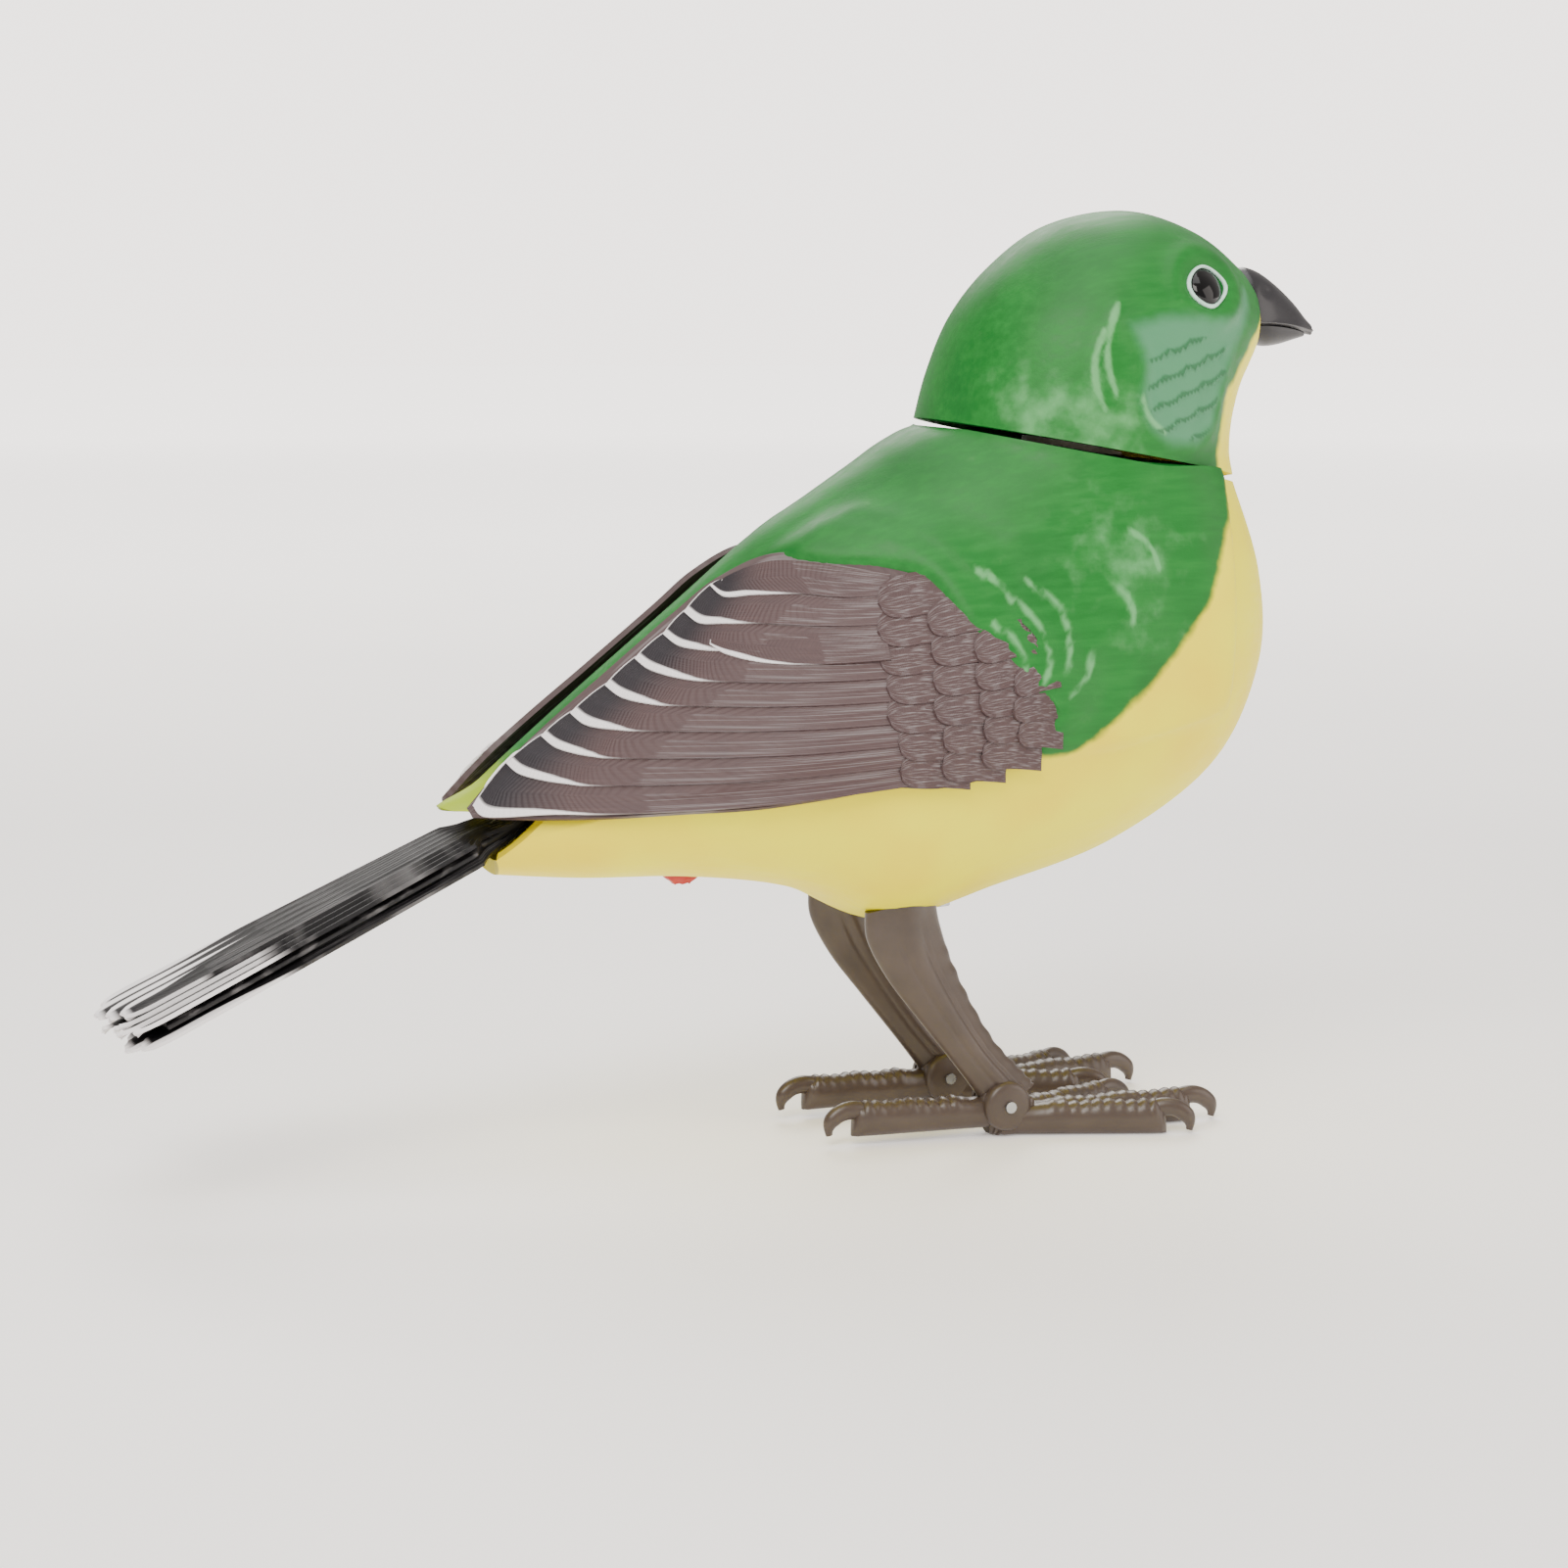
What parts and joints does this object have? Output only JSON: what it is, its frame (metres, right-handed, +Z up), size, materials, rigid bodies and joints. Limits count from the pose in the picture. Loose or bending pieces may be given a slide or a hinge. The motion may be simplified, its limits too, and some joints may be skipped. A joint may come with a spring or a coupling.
{
  "type": "battery-operated singing songbird toy",
  "caption": "Songbird toy with a turning head, opening lower beak, wagging tail, side wing panels, gripping feet, button-cell drive and slide switch.",
  "frame": {"origin": "on the table, under the middle of the object's outline seen from above", "axes": "+X towards the beak, +Y towards the bird's left side, +Z up"},
  "size_m": [0.1654, 0.0542, 0.1195],
  "materials": {
    "shell_paint": "spray-painted, yellow below and green above",
    "wing_paint": "painted grey-brown with white feather edges",
    "head_paint": "painted green with a paler cheek",
    "eye_gloss": "polished black",
    "leg_plastic": "semi-gloss brown",
    "beak_plastic": "semi-gloss dark grey",
    "tail_paint": "painted near-black",
    "steel": "plain",
    "natural_plastic": "as moulded",
    "copper_wire": "enamelled copper",
    "brass": "machined",
    "board": "solder mask",
    "red_plastic": "moulded red",
    "red_wire": "insulated wire",
    "black_plastic": "as moulded"
  },
  "bodies": {
    "body": {"body_shell_right": "shell_paint", "body_shell_left": "shell_paint", "wing_right": "wing_paint", "wing_left": "wing_paint", "leg_right": "leg_plastic", "leg_left": "leg_plastic", "hind_toe_right": "leg_plastic", "hind_toe_left": "leg_plastic", "toe_pin_right": "steel", "toe_pin_left": "steel", "neck_bush": "natural_plastic", "gearbox_base": "natural_plastic", "gearbox_top_plate": "natural_plastic", "gearbox_screw_right": "steel", "gearbox_screw_left": "steel", "crank_axle": "steel", "idler_axle_2": "steel", "idler_axle_1": "steel", "motor_case": "steel", "tail_pivot_pin": "steel", "shell_screw_rear": "steel", "shell_screw_middle": "steel", "shell_screw_front": "steel", "circuit_board": "board", "microphone": "steel", "switch_housing": "steel", "speaker_frame": "steel", "speaker_cone": "black_plastic", "battery_tray": "black_plastic", "cell_rear": "steel", "cell_middle": "steel", "cell_front": "steel", "spring_contact": "steel", "plate_contact": "steel", "motor_lead": "red_wire", "speaker_lead": "red_wire"},
    "head": {"head_shell_right": "head_paint", "head_shell_left": "head_paint", "eye_right": "eye_gloss", "eye_left": "eye_gloss", "upper_beak": "beak_plastic", "mouth_frame": "black_plastic", "beak_pivot_pin": "steel", "coil_bobbin": "natural_plastic", "coil_winding": "copper_wire", "coil_lead": "red_wire", "neck_spindle": "natural_plastic", "head_lever": "natural_plastic"},
    "lower_beak": {"lower_beak": "beak_plastic", "beak_magnet": "steel"},
    "tail": {"tail": "tail_paint"},
    "push_rod": {"tail_pushrod": "steel"},
    "crank": {"crank_gear": "natural_plastic"},
    "idler_2": {"idler_gear_2": "natural_plastic"},
    "idler_1": {"idler_gear_1": "natural_plastic"},
    "motor_rotor": {"motor_shaft": "steel", "motor_pinion": "brass"},
    "switch": {"switch_knob": "red_plastic"},
    "battery_door": {"battery_door": "shell_paint", "battery_door_screw": "steel"}
  },
  "joints": [
    {"name": "head_turn", "type": "hinge", "parent": "body", "child": "head", "pos_m": [0.0472, 0, 0.08855], "axis": [0.1876, 0, 0.9822], "range_deg": [-21, 21]},
    {"name": "beak_open", "type": "hinge", "parent": "head", "child": "lower_beak", "pos_m": [0.0674, 0, 0.1028], "axis": [0, 1, 0], "range_deg": [0, 12], "stiffness_Nm_per_rad": 0.004, "springref_deg": -8.59},
    {"name": "tail_wag", "type": "hinge", "parent": "body", "child": "tail", "pos_m": [-0.0275, 0, 0.0451], "axis": [0, 1, 0], "range_deg": [-8, 8]},
    {"name": "rod_slide", "type": "slide", "parent": "body", "child": "push_rod", "axis": [0.9822, 0, -0.1876], "range_m": [-0.00061, 0.00061]},
    {"name": "crank_spin", "type": "hinge", "parent": "body", "child": "crank", "pos_m": [0.03033, 0, 0.07752], "axis": [0.1876, 0, 0.9822], "continuous": true},
    {"name": "idler_2_spin", "type": "hinge", "parent": "body", "child": "idler_2", "pos_m": [0.0377, -0.00985, 0.07509], "axis": [0.1876, 0, 0.9822], "continuous": true},
    {"name": "idler_1_spin", "type": "hinge", "parent": "body", "child": "idler_1", "pos_m": [0.04723, -0.00767, 0.07022], "axis": [0.1876, 0, 0.9822], "continuous": true},
    {"name": "motor_spin", "type": "hinge", "parent": "body", "child": "motor_rotor", "pos_m": [0.049, 0.0026, 0.06785], "axis": [0.1876, 0, 0.9822], "continuous": true},
    {"name": "switch_slide", "type": "slide", "parent": "body", "child": "switch", "axis": [1, 0, 0], "range_m": [0, 0.002]},
    {"name": "battery_door_open", "type": "hinge", "parent": "body", "child": "battery_door", "pos_m": [0.0466, 0, 0.0351], "axis": [0, -1, 0], "range_deg": [0, 70]}
  ],
  "couplings": [
    {"joint": "rod_slide", "follows": "tail_wag", "m_per_rad": 0.004276},
    {"joint": "idler_2_spin", "follows": "crank_spin", "ratio": -4},
    {"joint": "idler_1_spin", "follows": "crank_spin", "ratio": 12.8},
    {"joint": "motor_spin", "follows": "crank_spin", "ratio": -40.96}
  ]
}
